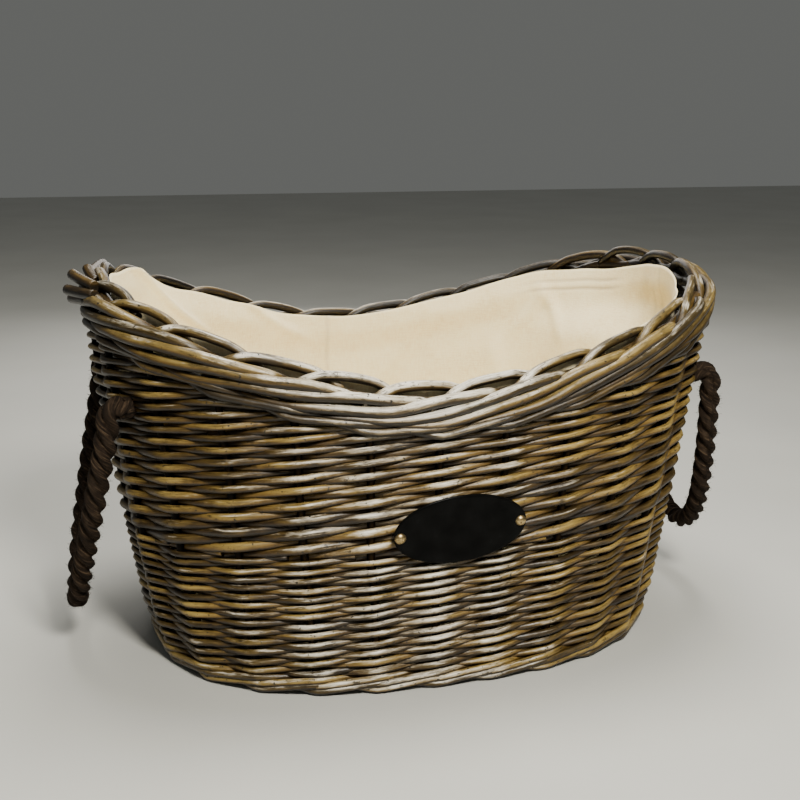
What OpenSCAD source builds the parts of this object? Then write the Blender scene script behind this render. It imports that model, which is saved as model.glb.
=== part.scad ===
// Boat-shaped wicker log basket: an oval woven body whose rim rises at both ends,
// with a rolled border, a sewn-in cloth liner, two rope loop handles and an oval plaque.
// Millimetres, +X along the basket's length, the front faces -Y, +Z up, origin on the
// floor under the middle of the basket.

/* [Basket outline] */
// Half length of the wall where it stands on the floor
foot_half_length = 272; // [220:1:320]
// Half width of the wall where it stands on the floor
foot_half_width = 198; // [150:1:240]
// Half length of the wall above the turn-up
turn_half_length = 288; // [230:1:330]
// Half width of the wall above the turn-up
turn_half_width = 205; // [160:1:250]
// Half length of the wall at the top of the lower weave
band_half_length = 303; // [240:1:340]
// Half width of the wall at the top of the lower weave
band_half_width = 208; // [160:1:250]
// Half length of the wall at the height of the rim's low middle
waist_half_length = 324; // [260:1:360]
// Half width of the wall at the height of the rim's low middle
waist_half_width = 218; // [170:1:260]
// Half length of the wall at the height of the rim's raised ends
rim_half_length = 327; // [260:1:370]
// Half width of the wall, carried up to the height of the raised ends
rim_half_width = 238; // [180:1:280]
// Roundness of the oval: 2 is an ellipse, more is squarer
squareness = 2.5; // [2:0.1:3.5]

/* [Heights] */
// Height of the turn-up, where the flare of the foot ends
turn_height = 45; // [30:1:70]
// Height where the lower weave ends and the upper weave starts
band_height = 144; // [100:1:180]
// Height of the rim in the middle of the long sides
rim_middle_height = 305; // [220:1:360]
// Height of the rim at the two ends
rim_end_height = 388; // [260:1:460]
// How late the rim rises towards the ends: 1 is straight, 2 is a parabola
rim_sweep = 1.6; // [1:0.01:2.5]
// How far the rim's lowest point lies left of the middle, as a share of the half length
rim_low_shift = 0.07; // [0:0.01:0.2]

/* [Wicker] */
// Thickness of the woven wall
wall = 20; // [12:0.5:28]
// Number of upright stakes round the wall
stake_count = 26; // [16:1:36]
// Diameter of an upright stake
stake_d = 8; // [5:0.5:12]
// Height of the thick rods round the foot
foot_wale_height = 16; // [8:1:30]
// Height of the band of rods under the border
top_wale_height = 18; // [10:1:40]
// Height of the rolled border
border_height = 28; // [15:1:40]
// How far the border stands out past the wall
border_out = 6; // [0:0.5:15]
// How far the border reaches in from the wall's outer face
border_in = 27; // [20:0.5:40]
// Diameter of a base stick
base_stick_d = 9; // [6:0.5:12]
// Number of cross sticks in the base
cross_stick_count = 9; // [5:2:13]

/* [Liner] */
// Thickness of the folded and hemmed cloth
cloth = 2; // [1:0.5:4]
// How far the cloth hangs inside the wall
liner_slack = 2; // [1:0.5:6]
// How far the cloth's top edge lies below the rim's top edge
liner_drop = 5; // [2:1:12]

/* [Rope handles] */
// Diameter of the rope
rope_d = 22; // [10:0.5:30]
// Diameter of the bulge where the rope bends over at the wall
bend_d = 23.6; // [10:0.2:34]
// Diameter of the button knot behind the cloth
knot_d = 38; // [30:1:46]
// Thickness of the button knot
knot_t = 26; // [20:1:32]

/* [Plaque] */
// Width of the oval plaque
plaque_w = 130; // [80:1:180]
// Height of the oval plaque
plaque_h = 68; // [40:1:100]
// Thickness of the plaque
plaque_t = 2.5; // [1:0.5:6]
// Height of the plaque's centre
plaque_z = 172; // [100:1:220]
// How far the plaque is turned in its own plane, in degrees
plaque_turn = 3.5; // [-10:0.5:10]
// Diameter of a rivet's domed head
rivet_head_d = 11; // [6:0.5:16]

/* [Hidden] */

ring_steps = 80;
arc_steps = 360;
rod_sides = 8;
rope_sides = 12;
round_fn = 48;

fit_gap = 0.3;
// Gap between one woven band and the next, and between the woven bands and the cloth
band_gap = 0.6;
rise = rim_end_height - rim_middle_height;
// How far the border stands above the rim's height, and how far below it the border, the
// wale and the weave begin
border_crown = 4;
border_low = border_height - border_crown;
weave_drop = border_low + top_wale_height;
// Where the level weave stops and the short packed rods of the ends begin
packing_lift = 5;
packing_level = rim_middle_height - weave_drop + packing_lift;
packing_half_turn = 78;
packing_steps = 36;
wale_out = 3;
foot_out = 1;
foot_bevel = 6;
// The foot wale and the base weave stop this far inside the wall's inner face
base_fit = 2;
base_top = 14;
base_bottom = 3;
// Distance from the ends of the base sticks to the wall's inner face
stick_fit = 8;
long_stick_spacing = 24;
cross_stick_margin = 90;
// The first stake stands this share of a stake's spacing round from +X
stake_phase = 0.2;
liner_out = wall + liner_slack;
liner_head_out = border_in + 2 * band_gap;

// Where the ropes pass through the wall, and the axis that each loop turns on
hole_x = 298;
hole_y = 104;
hole_z = 280;
hole_turn = 30;
pivot_out = rope_d / 2 + 3;

// The cloth hangs over the knots: how far it bulges in there, and over what distance
knot_bulge = 34;
bulge_spread = 60;

// Half of each loop's centreline, from its pivot to the lowest point, as distance out
// from the middle of the basket, distance along the width, and height
left_route = [
    [312, 109, 258], [319, 102, 224], [328, 92, 184], [336, 77, 146],
    [343, 60, 112], [349, 41, 80], [352, 20, 60], [353, 0, 53]
];
right_route = [
    [311, 109, 258], [316, 102, 224], [322, 92, 188], [329, 78, 152],
    [336, 62, 122], [342, 43, 98], [346, 21, 82], [347, 0, 77]
];

wicker_light = [0.60, 0.52, 0.40];
wicker_dark = [0.42, 0.34, 0.24];
cloth_colour = [0.86, 0.79, 0.66];
rope_colour = [0.20, 0.14, 0.11];

half_lengths = [
    [0, foot_half_length], [turn_height, turn_half_length], [band_height, band_half_length],
    [rim_middle_height, waist_half_length], [rim_end_height, rim_half_length]
];
half_widths = [
    [0, foot_half_width], [turn_height, turn_half_width], [band_height, band_half_width],
    [rim_middle_height, waist_half_width], [rim_end_height, rim_half_width]
];

function signed_power(v, p) = v < 0 ? -pow(-v, p) : pow(v, p);

// A point of the wall at angle t and height z, set in from the outer face
function wall_point(t, z, inset) = [
    (lookup(z, half_lengths) - inset) * signed_power(cos(t), 2 / squareness),
    (lookup(z, half_widths) - inset) * signed_power(sin(t), 2 / squareness),
    z
];

// Height of the rim's top edge at angle t: lowest a little left of the middle
function rim_z(t) =
    let (
        along = signed_power(cos(t), 2 / squareness) + rim_low_shift,
        reach = along > 0 ? 1 + rim_low_shift : 1 - rim_low_shift
    )
    rim_middle_height + rise * pow(abs(along) / reach, rim_sweep);

// Angles at equal steps along the wall, so that rods are evenly spaced
function turn_at(i) = i * 360 / arc_steps;
arc_table = [
    for (i = 0, s = 0; i <= arc_steps;
         s = s + norm(wall_point(turn_at(i + 1), band_height, 0)
                      - wall_point(turn_at(i), band_height, 0)), i = i + 1)
        [s, turn_at(i)]
];
perimeter = arc_table[arc_steps][0];
function angle_at(share) = lookup((share - floor(share)) * perimeter, arc_table);

// One skin over a row of rings, each a list of points; closed rows join end to start
module skin(rings, closed) {
    count = len(rings);
    sides = len(rings[0]);
    spans = closed ? count : count - 1;
    faces = [
        for (i = [0 : spans - 1], j = [0 : sides - 1])
            let (
                a = i * sides + j,
                b = i * sides + (j + 1) % sides,
                c = ((i + 1) % count) * sides + j,
                d = ((i + 1) % count) * sides + (j + 1) % sides
            )
            each [[a, c, b], [b, c, d]]
    ];
    caps = closed ? [] : [
        for (j = [1 : sides - 2])
            each [[0, j, j + 1], [(count - 1) * sides, (count - 1) * sides + j + 1,
                                  (count - 1) * sides + j]]
    ];
    polyhedron(points = [for (ring = rings) each ring], faces = concat(faces, caps));
}

// A round rod along a path; side is a direction that the path never follows
module rod(path, r, sides, side) {
    last = len(path) - 1;
    skin([
        for (i = [0 : last])
            let (
                along = path[min(i + 1, last)] - path[max(i - 1, 0)],
                u = cross(along, side) / norm(cross(along, side)),
                v = cross(along, u) / norm(along)
            )
            [for (k = [0 : sides - 1])
                path[i] + r * (cos(k * 360 / sides) * u + sin(k * 360 / sides) * v)]
    ], false);
}

// A closed band of the wall; each section point is [inset, height at that angle]
function band_section(t, section) = [for (p = section) wall_point(t, p[1], p[0])];

// The oval at one height, as a flat outline
module oval(z, inset) {
    polygon([for (i = [0 : ring_steps - 1])
        let (p = wall_point(i * 360 / ring_steps, z, inset)) [p[0], p[1]]]);
}

module base_long_sticks() {
    reach = foot_half_length - wall - stick_fit;
    color(wicker_light)
        for (i = [-1 : 1])
            translate([-reach, i * long_stick_spacing, (base_top + base_bottom) / 2])
                rotate([0, 90, 0])
                    cylinder(d = base_stick_d, h = 2 * reach, $fn = round_fn);
}

module base_cross_sticks() {
    spacing = 2 * (foot_half_length - cross_stick_margin) / (cross_stick_count - 1);
    color(wicker_light)
        for (i = [0 : cross_stick_count - 1])
            let (
                x = (i - (cross_stick_count - 1) / 2) * spacing,
                reach = (foot_half_width - wall - stick_fit)
                    * pow(1 - pow(abs(x) / (foot_half_length - wall), squareness), 1 / squareness)
            )
            translate([x, reach, (base_top + base_bottom) / 2])
                rotate([90, 0, 0])
                    cylinder(d = base_stick_d, h = 2 * reach, $fn = round_fn);
}

module base_weave() {
    color(wicker_dark)
        translate([0, 0, base_bottom])
            linear_extrude(base_top - base_bottom)
                oval(0, wall + base_fit);
}

module foot_wale() {
    color(wicker_dark)
        skin([
            for (i = [0 : ring_steps - 1])
                band_section(i * 360 / ring_steps, [
                    [foot_bevel, 0], [wall + base_fit, 0],
                    [wall + base_fit, foot_wale_height],
                    [-foot_out, foot_wale_height], [-foot_out, foot_bevel]
                ])
        ], true);
}

// The centreline of one upright stake, from inside the foot wale to just under the border
function stake_path(share) =
    let (t = angle_at(share))
    [for (z = [foot_wale_height / 2, turn_height, band_height, packing_level,
               rim_z(t) - border_low - 2])
        wall_point(t, z, wall / 2)];

// The stakes whose position round the wall lies between two shares of a turn
module stakes(from, to) {
    color(wicker_light)
        for (i = [0 : stake_count - 1])
            let (share = (i + stake_phase) / stake_count)
            if (share >= from && share < to)
                rod(stake_path(share), stake_d / 2, rod_sides, [sin(angle_at(share)), -cos(angle_at(share)), 0]);
}

module lower_weave() {
    color(wicker_dark)
        skin([
            for (i = [0 : ring_steps - 1])
                band_section(i * 360 / ring_steps, [
                    [0, foot_wale_height], [wall, foot_wale_height], [wall, turn_height],
                    [wall, band_height], [0, band_height], [0, turn_height]
                ])
        ], true);
}

// Height of the weave's upper edge, under the wale
function weave_top(t) = rim_z(t) - weave_drop - band_gap;

// Height of the level weave, which ends under the wale where the rim dips below it
function level_top(t) = min(weave_top(t), packing_level - band_gap);

module upper_weave() {
    color(wicker_dark)
        skin([
            for (i = [0 : ring_steps - 1])
                let (t = i * 360 / ring_steps)
                band_section(t, [
                    [0, band_height], [wall, band_height],
                    [wall, level_top(t)], [0, level_top(t)]
                ])
        ], true);
}

// Short rods packed in to raise one end of the wall; middle is the end's angle
module packing(middle) {
    color(wicker_dark)
        difference() {
            skin([
                for (i = [0 : packing_steps])
                    let (t = middle + packing_half_turn * (2 * i / packing_steps - 1))
                    band_section(t, [
                        [0, packing_level], [wall, packing_level],
                        [wall, weave_top(t)], [0, weave_top(t)]
                    ])
            ], false);
            rope_holes();
        }
}

module top_wale() {
    color(wicker_light)
        skin([
            for (i = [0 : ring_steps - 1])
                let (t = i * 360 / ring_steps, low = rim_z(t) - weave_drop)
                band_section(t, [
                    [-wale_out, low], [wall, low],
                    [wall, low + top_wale_height - band_gap],
                    [-wale_out, low + top_wale_height - band_gap]
                ])
        ], true);
}

// The border's section is a rectangle with its corners cut off
module border() {
    low_cut = 6;
    top_cut = 9;
    color(wicker_light)
        skin([
            for (i = [0 : ring_steps - 1])
                let (
                    t = i * 360 / ring_steps,
                    low = rim_z(t) - border_low,
                    top = rim_z(t) + border_crown
                )
                band_section(t, [
                    [-border_out + low_cut, low], [border_in - low_cut, low],
                    [border_in, low + low_cut], [border_in, top - top_cut],
                    [border_in - top_cut, top], [-border_out + top_cut, top],
                    [-border_out, top - top_cut], [-border_out, low + low_cut]
                ])
        ], true);
}

module liner_floor() {
    color(cloth_colour)
        translate([0, 0, base_top])
            linear_extrude(cloth)
                oval(0, wall + 2 * base_fit);
}

// How far the cloth is pushed in by the nearest knot at angle t
function bulge(t) =
    let (
        p = wall_point(t, hole_z, 0),
        away = norm([abs(p[0]) - hole_x, abs(p[1]) - hole_y])
    )
    knot_bulge * exp(-pow(away / bulge_spread, 2));

// One side of the cloth from the floor up to its top edge at angle t. It bulges over the
// knots and leans in over the wale, so that it clears the border.
function liner_side(t, out, head_out) = [
    [out, base_top + cloth + band_gap], [out, turn_height], [out, band_height],
    [out + bulge(t), min(hole_z, rim_z(t) - weave_drop - 12)],
    [out, rim_z(t) - weave_drop], [head_out, rim_z(t) - border_low],
    [head_out, rim_z(t) - liner_drop]
];

function backwards(list) = [for (i = [len(list) - 1 : -1 : 0]) list[i]];

module liner_wall() {
    color(cloth_colour)
        skin([
            for (i = [0 : ring_steps - 1])
                let (t = i * 360 / ring_steps)
                band_section(t, concat(
                    liner_side(t, liner_out + cloth, liner_head_out + cloth),
                    backwards(liner_side(t, liner_out, liner_head_out))
                ))
        ], true);
}

// Puts its children at a rope hole, with +Z pointing straight out through the wall
module at_hole(end, side) {
    translate([end * hole_x, side * hole_y, hole_z])
        rotate([0, 90, end > 0 ? side * hole_turn : 180 - side * hole_turn])
            children();
}

module rope_holes() {
    reach_in = 60;
    reach_out = 15;
    for (end = [-1, 1], side = [-1, 1])
        at_hole(end, side)
            translate([0, 0, -reach_in])
                cylinder(d = rope_d, h = reach_in + reach_out, $fn = round_fn);
}

// The fixed end of a rope: through the wall to a squat button knot behind the cloth
module knot(end, side) {
    knot_in = wall + fit_gap + knot_t / 2;
    color(rope_colour)
        at_hole(end, side) {
            translate([0, 0, -knot_in])
                cylinder(d = rope_d, h = knot_in + 1, $fn = round_fn);
            translate([0, 0, -knot_in])
                rotate_extrude($fn = round_fn)
                    intersection() {
                        union() {
                            translate([0, -knot_t / 2])
                                square([(knot_d - knot_t) / 2, knot_t]);
                            translate([(knot_d - knot_t) / 2, 0])
                                circle(d = knot_t, $fn = round_fn);
                        }
                        translate([0, -knot_t])
                            square([knot_d, 2 * knot_t]);
                    }
        }
}

// The pivot of one end's loop, on the side given by the sign
function pivot(side) = [
    hole_x + pivot_out * cos(hole_turn), side * (hole_y + pivot_out * sin(hole_turn)), hole_z
];

// A whole loop from one pivot to the other
function loop_path(route) = [
    pivot(-1),
    for (p = route) [p[0], -p[1], p[2]],
    for (i = [len(route) - 2 : -1 : 0]) route[i],
    pivot(1)
];

module rope_loop(end, route) {
    color(rope_colour)
        mirror([end < 0 ? 1 : 0, 0, 0]) {
            rod(loop_path(route), rope_d / 2, rope_sides, [1, 0, 0]);
            for (side = [-1, 1])
                translate(pivot(side))
                    sphere(d = bend_d, $fn = round_fn);
        }
}

// Puts its children on the outside of the front wall at the plaque's centre,
// with +Z straight out from the wall and +Y up the wall
module at_plaque() {
    low = lookup(plaque_z - 30, half_widths);
    high = lookup(plaque_z + 30, half_widths);
    translate([0, -(low + high) / 2, plaque_z])
        rotate([90 + atan((high - low) / 60), 0, 0])
            rotate([0, 0, plaque_turn])
                children();
}

module plaque() {
    color([0.03, 0.03, 0.03])
        at_plaque()
            translate([0, 0, fit_gap])
                linear_extrude(plaque_t)
                    polygon([for (i = [0 : ring_steps - 1])
                        [plaque_w / 2 * cos(i * 360 / ring_steps),
                         plaque_h / 2 * sin(i * 360 / ring_steps)]]);
}

module rivet(side) {
    inset = 6;
    shank_d = 4;
    dome = 3.5;
    sphere_r = (pow(rivet_head_d / 2, 2) + dome * dome) / (2 * dome);
    color([0.62, 0.50, 0.28])
        at_plaque()
            translate([side * (plaque_w / 2 - inset), 0, fit_gap + plaque_t]) {
                intersection() {
                    translate([0, 0, dome - sphere_r])
                        sphere(r = sphere_r, $fn = round_fn);
                    cylinder(d = rivet_head_d, h = dome + 1, $fn = round_fn);
                }
                translate([0, 0, -wall])
                    cylinder(d = shank_d, h = wall + 1, $fn = round_fn);
            }
}

base_long_sticks();
base_cross_sticks();
base_weave();
foot_wale();
stakes(0.62, 0.90);  // front_stakes
stakes(0.12, 0.38);  // back_stakes
stakes(0.38, 0.62);  // left_stakes
union() { stakes(0.90, 1); stakes(0, 0.12); }  // right_stakes
lower_weave();
upper_weave();
packing(180);  // left_packing
packing(0);  // right_packing
top_wale();
border();
liner_floor();
liner_wall();
rope_loop(-1, left_route);  // left_rope_handle
rope_loop(1, right_route);  // right_rope_handle
knot(-1, -1);  // left_front_knot
knot(-1, 1);  // left_back_knot
knot(1, -1);  // right_front_knot
knot(1, 1);  // right_back_knot
plaque();
rivet(-1);  // left_rivet
rivet(1);  // right_rivet
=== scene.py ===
"""A willow log basket with a calico liner, two rope handles and an oval plaque."""

import math

import bpy
import numpy as np
from mathutils import Matrix, Vector


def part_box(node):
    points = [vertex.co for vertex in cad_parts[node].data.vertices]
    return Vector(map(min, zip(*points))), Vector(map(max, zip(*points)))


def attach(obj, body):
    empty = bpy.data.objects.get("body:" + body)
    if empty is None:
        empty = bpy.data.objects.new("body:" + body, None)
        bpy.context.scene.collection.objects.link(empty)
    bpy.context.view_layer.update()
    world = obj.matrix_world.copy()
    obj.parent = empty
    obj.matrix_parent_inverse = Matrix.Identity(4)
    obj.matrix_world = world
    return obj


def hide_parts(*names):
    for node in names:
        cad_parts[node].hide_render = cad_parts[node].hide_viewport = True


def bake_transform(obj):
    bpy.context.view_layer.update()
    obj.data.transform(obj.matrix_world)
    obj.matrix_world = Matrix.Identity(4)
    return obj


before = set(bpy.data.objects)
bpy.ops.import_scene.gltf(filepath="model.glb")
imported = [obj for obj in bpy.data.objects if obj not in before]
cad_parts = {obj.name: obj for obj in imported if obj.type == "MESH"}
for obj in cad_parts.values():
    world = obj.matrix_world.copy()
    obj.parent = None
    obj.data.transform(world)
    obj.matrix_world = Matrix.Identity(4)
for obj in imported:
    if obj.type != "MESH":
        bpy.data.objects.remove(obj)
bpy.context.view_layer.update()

# --- The basket's outline, in metres, as the CAD part has it -----------------------------

HEIGHTS = (0.0, 0.045, 0.144, 0.305, 0.388)
HALF_LENGTHS = (0.272, 0.288, 0.303, 0.324, 0.327)
HALF_WIDTHS = (0.198, 0.205, 0.208, 0.218, 0.238)
SQUARENESS = 2.5
BAND_Z = HEIGHTS[2]
RIM_MIDDLE_Z = HEIGHTS[3]
RIM_END_Z = HEIGHTS[4]
RIM_SWEEP = 1.6
RIM_LOW_SHIFT = 0.07
WALL = 0.020
STAKES = 26
STAKE_PHASE = 0.2
BORDER_DROP = 0.024
WEAVE_DROP = BORDER_DROP + 0.018
FOOT_TOP_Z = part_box("foot_wale")[1].z

rng = np.random.default_rng(11)


def path_length(path):
    """Distance along a path to each of its points."""
    return np.concatenate([[0], np.cumsum(np.linalg.norm(np.diff(path, axis=0), axis=1))])


def wall_half(z):
    """Half length and half width of the wall's outer face at a height."""
    return np.interp(z, HEIGHTS, HALF_LENGTHS), np.interp(z, HEIGHTS, HALF_WIDTHS)


def signed_power(value, power):
    """A power that keeps the sign of what it raises."""
    return np.sign(value) * np.abs(value) ** power


def oval(angle, half_length, half_width):
    """Points of the basket's oval plan."""
    power = 2 / SQUARENESS
    return half_length * signed_power(np.cos(angle), power), half_width * signed_power(np.sin(angle), power)


def arc_table():
    """Angle against distance round the wall at the band, so that rods are evenly spaced."""
    angles = np.radians(np.arange(361))
    x, y = oval(angles, *wall_half(BAND_Z))
    return np.concatenate([[0], np.cumsum(np.hypot(np.diff(x), np.diff(y)))]), angles


ARC, ARC_ANGLES = arc_table()


def angle_at(stake):
    """The angle of a place counted in stakes round the wall, 0 at the first stake."""
    share = (np.asarray(stake, float) + STAKE_PHASE) / STAKES
    return np.interp((share % 1) * ARC[-1], ARC, ARC_ANGLES)


def stake_at(angle):
    """The place in stakes of an angle."""
    return np.interp(angle % (2 * math.pi), ARC_ANGLES, ARC) / ARC[-1] * STAKES - STAKE_PHASE


def rim_z(angle):
    """Height of the rim, which is lowest a little left of the middle."""
    along = signed_power(np.cos(angle), 2 / SQUARENESS) + RIM_LOW_SHIFT
    reach = np.where(along > 0, 1 + RIM_LOW_SHIFT, 1 - RIM_LOW_SHIFT)
    return RIM_MIDDLE_Z + (RIM_END_Z - RIM_MIDDLE_Z) * (np.abs(along) / reach) ** RIM_SWEEP


def wall_point(stake, z, inset):
    """Points of the wall, set in from its outer face."""
    half_length, half_width = wall_half(z)
    x, y = oval(angle_at(stake), half_length - inset, half_width - inset)
    return np.stack([x, y, np.broadcast_to(z, x.shape)], -1)


def outward(stake, z):
    """Level directions straight out of the wall."""
    half_length, half_width = wall_half(z)
    x, y = oval(angle_at(stake), half_length, half_width)
    nx = signed_power(x / half_length, SQUARENESS - 1) / half_length
    ny = signed_power(y / half_width, SQUARENESS - 1) / half_width
    size = np.hypot(nx, ny)
    return np.stack([nx / size, ny / size, np.zeros_like(nx)], -1)


def smoothstep(value, low, high):
    """0 below low, 1 above high and a smooth rise between. Low may be the larger one."""
    t = np.clip((value - low) / (high - low), 0, 1)
    return t * t * (3 - 2 * t)


def unit(vectors):
    """The same directions with a length of 1."""
    return vectors / np.maximum(np.linalg.norm(vectors, axis=-1, keepdims=True), 1e-12)


def spline(points, steps):
    """A smooth curve through points, with that many steps between each two."""
    points = np.array(points, float)
    ends = np.vstack([2 * points[0] - points[1], points, 2 * points[-1] - points[-2]])
    t = np.linspace(0, 1, steps, endpoint=False)[:, None]
    parts = []
    for a, b, c, d in zip(ends, ends[1:], ends[2:], ends[3:]):
        parts.append(0.5 * (2 * b + (c - a) * t + (2 * a - 5 * b + 4 * c - d) * t**2
                            + (3 * b - a - 3 * c + d) * t**3))
    return np.vstack(parts + [points[-1:]])


# --- Camera ------------------------------------------------------------------------------

CAMERA_TURN = math.radians(-15.7)
CAMERA_PITCH = math.radians(17.7)
CAMERA_ROLL = 0.006
CAMERA_DISTANCE = 1.258
CAMERA_LENS = 51.25
CAMERA_SHIFT = 0.080
CAMERA_AIM = Vector((0, 0, 0.170))


def make_camera():
    """A camera a little left of the front, looking down on the basket."""
    data = bpy.data.cameras.new("camera")
    data.lens = CAMERA_LENS
    data.sensor_width = 36
    data.shift_y = CAMERA_SHIFT
    camera = bpy.data.objects.new("camera", data)
    bpy.context.scene.collection.objects.link(camera)
    forward = Vector((
        -math.sin(CAMERA_TURN) * math.cos(CAMERA_PITCH),
        math.cos(CAMERA_TURN) * math.cos(CAMERA_PITCH),
        -math.sin(CAMERA_PITCH),
    ))
    camera.location = CAMERA_AIM - forward * CAMERA_DISTANCE
    turned = forward.to_track_quat("-Z", "Y").to_matrix() @ Matrix.Rotation(CAMERA_ROLL, 3, "Z")
    camera.rotation_euler = turned.to_euler()
    bpy.context.scene.camera = camera


make_camera()

# --- Materials ---------------------------------------------------------------------------


class Nodes:
    """Short names for building one material's node tree."""

    def __init__(self, name):
        self.material = bpy.data.materials.new(name)
        self.material.use_nodes = True
        self.tree = self.material.node_tree
        self.shader = self.tree.nodes["Principled BSDF"]

    def add(self, kind, **settings):
        node = self.tree.nodes.new(kind)
        for key, value in settings.items():
            setattr(node, key, value)
        return node

    def link(self, source, target):
        self.tree.links.new(source, target)

    def fill(self, socket, value):
        """Sets a socket to a number or colour, or links it to another socket."""
        if isinstance(value, bpy.types.NodeSocket):
            self.link(value, socket)
        else:
            socket.default_value = value

    def attribute(self, name, output="Fac"):
        """A value that add_mesh wrote on the mesh's points."""
        return self.add("ShaderNodeAttribute", attribute_name=name).outputs[output]

    def place(self):
        """The point's own place in metres."""
        return self.add("ShaderNodeTexCoord").outputs["Object"]

    def scaled(self, vector, scale):
        node = self.add("ShaderNodeMapping")
        self.link(vector, node.inputs["Vector"])
        node.inputs["Scale"].default_value = scale
        return node.outputs["Vector"]

    def part(self, vector, axis):
        """One coordinate of a vector."""
        node = self.add("ShaderNodeSeparateXYZ")
        self.link(vector, node.inputs[0])
        return node.outputs[axis]

    def noise(self, vector, scale, detail=3.0, roughness=0.5):
        node = self.add("ShaderNodeTexNoise")
        self.link(vector, node.inputs["Vector"])
        node.inputs["Scale"].default_value = scale
        node.inputs["Detail"].default_value = detail
        node.inputs["Roughness"].default_value = roughness
        return node.outputs["Fac"]

    def ramp(self, value, *stops):
        node = self.add("ShaderNodeValToRGB")
        self.link(value, node.inputs["Fac"])
        elements = node.color_ramp.elements
        while len(elements) < len(stops):
            elements.new(0.5)
        for element, (position, colour) in zip(elements, stops):
            element.position = position
            element.color = (*colour, 1)
        return node.outputs["Color"]

    def math(self, operation, a, b=0.0):
        node = self.add("ShaderNodeMath", operation=operation)
        self.fill(node.inputs[0], a)
        self.fill(node.inputs[1], b)
        return node.outputs["Value"]

    def total(self, *terms):
        """The sum of values, each times its weight."""
        whole = self.math("MULTIPLY", *terms[0])
        for value, weight in terms[1:]:
            whole = self.math("ADD", whole, self.math("MULTIPLY", value, weight))
        return whole

    def remap(self, value, low, high, to_low=0.0, to_high=1.0):
        node = self.add("ShaderNodeMapRange")
        self.link(value, node.inputs["Value"])
        for key, number in zip(("From Min", "From Max", "To Min", "To Max"), (low, high, to_low, to_high)):
            node.inputs[key].default_value = number
        return node.outputs["Result"]

    def mix(self, factor, a, b, blend="MIX"):
        node = self.add("ShaderNodeMix", data_type="RGBA", blend_type=blend)
        self.fill(node.inputs["Factor"], factor)
        for socket, value in ((node.inputs[6], a), (node.inputs[7], b)):
            self.fill(socket, value if isinstance(value, bpy.types.NodeSocket) else (*value, 1))
        return node.outputs[2]

    def bump(self, height, strength, distance):
        node = self.add("ShaderNodeBump")
        node.inputs["Strength"].default_value = strength
        node.inputs["Distance"].default_value = distance
        self.link(height, node.inputs["Height"])
        return node.outputs["Normal"]

    def finish(self, colour, roughness, normal=None, **inputs):
        self.fill(self.shader.inputs["Base Color"], colour)
        self.fill(self.shader.inputs["Roughness"], roughness)
        if normal is not None:
            self.link(normal, self.shader.inputs["Normal"])
        for key, value in inputs.items():
            self.shader.inputs[key.replace("_", " ")].default_value = value
        return self.material


# The painted highlight of the key light on the middle of the front lies this far to the left of the centre
PAINTED_HIGHLIGHT_LEFT = 0.055


def willow_material(name, dark, middle, light, grey_and_highlight_amount, gloss=0.5, reach=0.27, painted_shade_reach=0.64):
    """A willow rod: brown bark with grey wear and a painted highlight over what faces up and out,
    painted shade where it faces down or in, and specks. reach is how far from the middle the painted
    highlight of the key light spreads, and the last argument how deep the painted shade goes."""
    n = Nodes(name)
    grain = n.attribute("grain", "Vector")
    tone = n.attribute("tone")
    painted_light = n.attribute("painted_light")
    broad = n.noise(n.scaled(grain, (14, 60, 40)), 1.0, 3)
    streak = n.noise(n.scaled(grain, (50, 480, 40)), 1.0, 4, 0.65)
    mixed = n.total((broad, 0.45), (streak, 0.80), (tone, 0.34))
    bark = n.ramp(mixed, (0.58, dark), (0.80, middle), (1.00, light))
    patches = n.noise(n.scaled(grain, (24, 210, 90)), 1.0, 4, 0.7)
    # Painted highlight: the middle of the front is made paler where the key light shines on it, fading out
    # by reach.
    from_middle = n.math("ABSOLUTE", n.math("ADD", n.part(n.place(), 0), PAINTED_HIGHLIGHT_LEFT))
    painted_middle_highlight = n.remap(from_middle, 0.05, reach, 0.36, 0.0)
    # Grey wear rubbed on in random patches, plus a painted highlight where the rod faces up and out and in
    # the lit middle of the front.
    wear_and_highlight = n.total((patches, 1.3), (painted_light, 0.62), (painted_middle_highlight, 1.0), (streak, 0.35))
    grey_wear_and_highlight = n.remap(wear_and_highlight, 1.45, 1.74, 0.0, grey_and_highlight_amount)
    grey = n.ramp(streak, (0.30, (0.40, 0.32, 0.19)), (0.62, (0.93, 0.89, 0.79)))
    colour = n.mix(grey_wear_and_highlight, bark, grey)
    # Painted shade: the colour darkens to near black where the rod faces down or in or lies at the back.
    painted_light_level = n.remap(painted_light, 0.18, painted_shade_reach)
    shade = n.ramp(painted_light_level, (0.0, (0.05, 0.035, 0.018)), (0.5, (0.45, 0.37, 0.25)), (1.0, (1, 1, 1)))
    colour = n.mix(1.0, colour, shade, "MULTIPLY")
    scuffs = n.noise(n.scaled(grain, (120, 330, 40)), 1.0, 3, 0.7)
    colour = n.mix(n.remap(scuffs, 0.57, 0.68, 0.0, 0.85), colour, dark)
    specks = n.noise(n.place(), 240, 2, 0.6)
    colour = n.mix(n.remap(specks, 0.66, 0.70), colour, (0.010, 0.007, 0.004))
    roughness = n.remap(streak, 0.2, 0.8, 0.30, 0.52)
    normal = n.bump(n.math("ADD", streak, scuffs), 0.45, 0.0007)
    return n.finish(colour, roughness, normal, Specular_IOR_Level=gloss)


def stick_material(name, grain_scale):
    """Thick peeled base sticks, with the grain and dark patches running along them."""
    n = Nodes(name)
    grain = n.noise(n.scaled(n.place(), grain_scale), 1.0, 4, 0.65)
    patches = n.noise(n.place(), 40, 4)
    dark, middle, light = (0.040, 0.025, 0.009), (0.110, 0.074, 0.028), (0.22, 0.16, 0.07)
    colour = n.ramp(grain, (0.36, dark), (0.55, middle), (0.72, light))
    colour = n.mix(n.remap(patches, 0.50, 0.66, 0.0, 0.7), colour, (0.030, 0.019, 0.007))
    return n.finish(colour, n.remap(grain, 0.3, 0.7, 0.5, 0.75), n.bump(grain, 0.4, 0.0006))


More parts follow.
